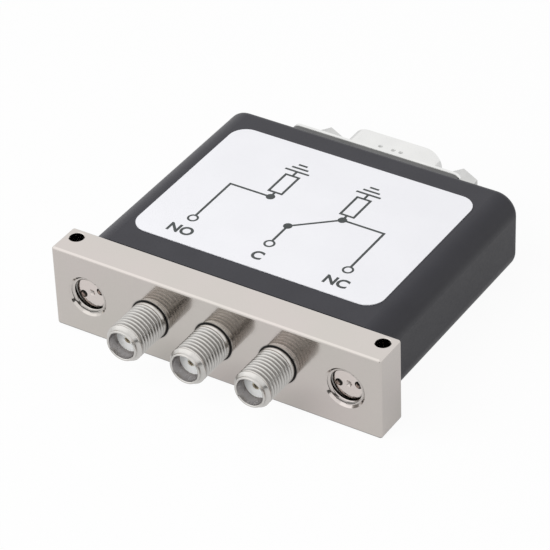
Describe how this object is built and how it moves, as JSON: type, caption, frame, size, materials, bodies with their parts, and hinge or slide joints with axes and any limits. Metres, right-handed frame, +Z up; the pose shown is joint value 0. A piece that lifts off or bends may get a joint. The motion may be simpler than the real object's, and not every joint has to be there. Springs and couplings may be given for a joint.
{
  "type": "coaxial rf switch",
  "caption": "Flat coaxial relay switch: plated head block with threaded coaxial jacks and end loads, painted can with a rear D connector, rocking armatures inside.",
  "frame": {"origin": "middle of the two mounting holes, on the underside of the head block", "axes": "+X along the head block, +Y from the coaxial jacks to the control connector, +Z up through the label"},
  "size_m": [0.059, 0.0641, 0.0147],
  "materials": {
    "nickel_plate": "satin nickel plating on machined metal",
    "stainless": "passivated stainless steel",
    "ptfe": "white fluoropolymer",
    "gold_plate": "gold plating",
    "load_ceramic": "alumina with a resistive film",
    "rod_plastic": "unfilled engineering plastic",
    "spring_steel": "drawn spring wire",
    "plain_steel": "zinc-plated steel",
    "soft_iron": "nickel-flashed soft iron",
    "bobbin_nylon": "natural nylon",
    "copper_wire": "enamelled copper wire",
    "board_laminate": "green solder mask on glass laminate",
    "diode_plastic": "black moulding",
    "tin_plate": "bright tin plating on drawn steel",
    "dark_plate": "dark passivated plating on drawn steel",
    "seal_rubber": "black seal",
    "connector_plastic": "black moulded polyester",
    "can_paint": "satin charcoal paint",
    "label_film": "white printed film, bare"
  },
  "bodies": {
    "base": {"bias_springs": "spring_steel", "bobbin_left": "bobbin_nylon", "bobbin_right": "bobbin_nylon", "bracket_screws": "plain_steel", "can": "can_paint", "cavity_cover": "nickel_plate", "coil_left": "copper_wire", "coil_right": "copper_wire", "coil_terminals": "copper_wire", "core_left": "soft_iron", "core_right": "soft_iron", "cover_screws": "plain_steel", "driver_board": "board_laminate", "dsub_body": "connector_plastic", "dsub_front_shell": "tin_plate", "dsub_pins": "gold_plate", "dsub_rear_shell": "dark_plate", "jack_bead_center": "ptfe", "jack_bead_left": "ptfe", "jack_bead_right": "ptfe", "jack_contact_center": "gold_plate", "jack_contact_left": "gold_plate", "jack_contact_right": "gold_plate", "jack_seals": "seal_rubber", "jack_shell_center": "stainless", "jack_shell_left": "stainless", "jack_shell_right": "stainless", "jackscrew_nuts": "plain_steel", "jackscrew_washers": "plain_steel", "jackscrews": "plain_steel", "label": "label_film", "pivot_bracket_left": "plain_steel", "pivot_bracket_right": "plain_steel", "pivot_pins": "plain_steel", "return_spring_1": "spring_steel", "return_spring_2": "spring_steel", "return_spring_3": "spring_steel", "return_spring_4": "spring_steel", "rf_head_block": "nickel_plate", "rod_bushing_1": "ptfe", "rod_bushing_2": "ptfe", "rod_bushing_3": "ptfe", "rod_bushing_4": "ptfe", "suppression_diodes": "diode_plastic", "termination_load_left": "load_ceramic", "termination_load_right": "load_ceramic", "termination_plug_left": "nickel_plate", "termination_plug_right": "nickel_plate", "yoke_left": "soft_iron", "yoke_right": "soft_iron"},
    "rocker_left": {"rocker_left": "soft_iron"},
    "rocker_right": {"rocker_right": "soft_iron"},
    "contact_1": {"reed_1": "gold_plate", "push_rod_1": "rod_plastic"},
    "contact_2": {"reed_2": "gold_plate", "push_rod_2": "rod_plastic"},
    "contact_3": {"reed_3": "gold_plate", "push_rod_3": "rod_plastic"},
    "contact_4": {"reed_4": "gold_plate", "push_rod_4": "rod_plastic"}
  },
  "joints": [
    {"name": "rocker_left_pivot", "type": "hinge", "parent": "base", "child": "rocker_left", "pos_m": [-0.01155, 0.01035, 0.00735], "axis": [0, 0, 1], "range_deg": [-10, 0], "stiffness_Nm_per_rad": 0.005, "springref_deg": 11.46},
    {"name": "rocker_right_pivot", "type": "hinge", "parent": "base", "child": "rocker_right", "pos_m": [0.01155, 0.01035, 0.00735], "axis": [0, 0, 1], "range_deg": [-10, 0]},
    {"name": "push_rod_1_slide", "type": "slide", "parent": "base", "child": "contact_1", "axis": [0, 1, 0], "range_m": [0, 0.00101]},
    {"name": "push_rod_2_slide", "type": "slide", "parent": "base", "child": "contact_2", "axis": [0, 1, 0], "range_m": [-0.00101, 0]},
    {"name": "push_rod_3_slide", "type": "slide", "parent": "base", "child": "contact_3", "axis": [0, 1, 0], "range_m": [0, 0.00101]},
    {"name": "push_rod_4_slide", "type": "slide", "parent": "base", "child": "contact_4", "axis": [0, 1, 0], "range_m": [-0.00101, 0]}
  ],
  "couplings": [
    {"joint": "rocker_right_pivot", "follows": "rocker_left_pivot", "ratio": 1},
    {"joint": "push_rod_1_slide", "follows": "rocker_left_pivot", "m_per_rad": -0.0058},
    {"joint": "push_rod_2_slide", "follows": "rocker_left_pivot", "m_per_rad": 0.0058},
    {"joint": "push_rod_3_slide", "follows": "rocker_left_pivot", "m_per_rad": -0.0058},
    {"joint": "push_rod_4_slide", "follows": "rocker_left_pivot", "m_per_rad": 0.0058}
  ]
}
